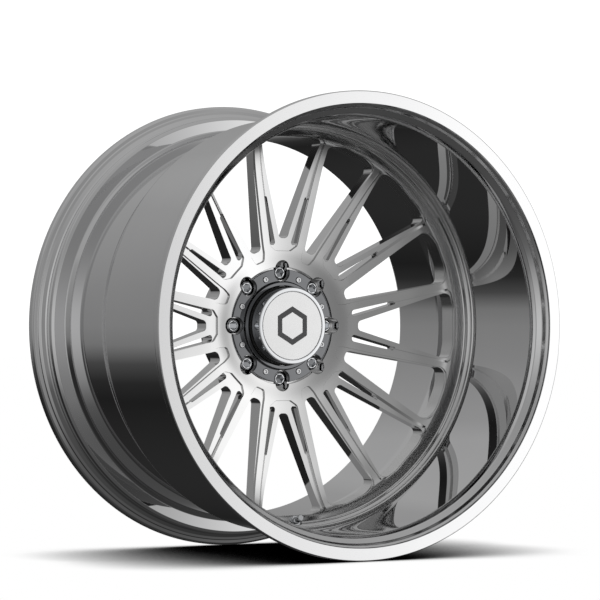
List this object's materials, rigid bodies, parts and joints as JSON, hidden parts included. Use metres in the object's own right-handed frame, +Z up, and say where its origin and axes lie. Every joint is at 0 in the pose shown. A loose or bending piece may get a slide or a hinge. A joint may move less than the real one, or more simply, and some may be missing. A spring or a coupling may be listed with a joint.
{
  "type": "wheel rim",
  "caption": "Large forged deep-dish wheel with a wide stepped barrel, a dished centre of paired slim spokes, a round centre cap, lug nuts and a tyre valve.",
  "frame": {"origin": "middle of the wheel, on its axis, halfway between the front lip and the rear flange", "axes": "+Y along the wheel's axis, inboard, towards the vehicle; -Y is the face with the deep lip; +Z up, opposite the tyre valve; +X to the right when looking inboard at the face"},
  "size_m": [0.7, 0.43, 0.7],
  "materials": {
    "barrel_metal": "machined and mirror polished",
    "centre_metal": "hand polished forging",
    "trim_chrome": "bright chrome plate",
    "cap_chrome": "bright chrome plate",
    "nut_chrome": "bright chrome plate",
    "badge_silver": "satin silver plate",
    "emblem_dark": "dark enamel inlay",
    "black_rubber": "moulded",
    "valve_brass": "turned",
    "spring_steel": "drawn wire"
  },
  "bodies": {
    "wheel": {"rim_barrel": "barrel_metal", "wheel_centre": "centre_metal", "lug_ring": "trim_chrome", "cap_body": "cap_chrome", "cap_seal": "black_rubber", "cap_badge": "badge_silver", "cap_emblem": "emblem_dark", "valve_stem": "trim_chrome", "valve_grommet": "black_rubber", "valve_washer": "trim_chrome", "valve_nut": "trim_chrome", "valve_core": "valve_brass", "valve_spring": "spring_steel", "ring_screw_1": "nut_chrome", "ring_screw_2": "nut_chrome", "ring_screw_3": "nut_chrome", "ring_screw_4": "nut_chrome", "ring_screw_5": "nut_chrome", "ring_screw_6": "nut_chrome", "ring_screw_7": "nut_chrome", "ring_screw_8": "nut_chrome", "lug_nut_1": "nut_chrome", "lug_nut_2": "nut_chrome", "lug_nut_3": "nut_chrome", "lug_nut_4": "nut_chrome", "lug_nut_5": "nut_chrome", "lug_nut_6": "nut_chrome", "lug_nut_7": "nut_chrome", "lug_nut_8": "nut_chrome"},
    "cap_lift": {"valve_cap_seal": "black_rubber"},
    "dust_cap": {"valve_cap": "trim_chrome"},
    "core_pin": {"valve_pin": "valve_brass"}
  },
  "joints": [
    {"name": "valve_cap_lift", "type": "slide", "parent": "wheel", "child": "cap_lift", "axis": [0, -0.9397, 0.342], "range_m": [0, 0.0079]},
    {"name": "valve_cap_turn", "type": "hinge", "parent": "cap_lift", "child": "dust_cap", "pos_m": [-0.006, -0.011, -0.302], "axis": [0, -0.9397, 0.342], "range_deg": [0, 3600]},
    {"name": "valve_pin_press", "type": "slide", "parent": "wheel", "child": "core_pin", "axis": [0, 0.9397, -0.342], "range_m": [0, 0.0012], "stiffness_N_per_m": 400}
  ],
  "couplings": [
    {"joint": "valve_cap_turn", "follows": "valve_cap_lift", "rad_per_m": 7915.8}
  ]
}
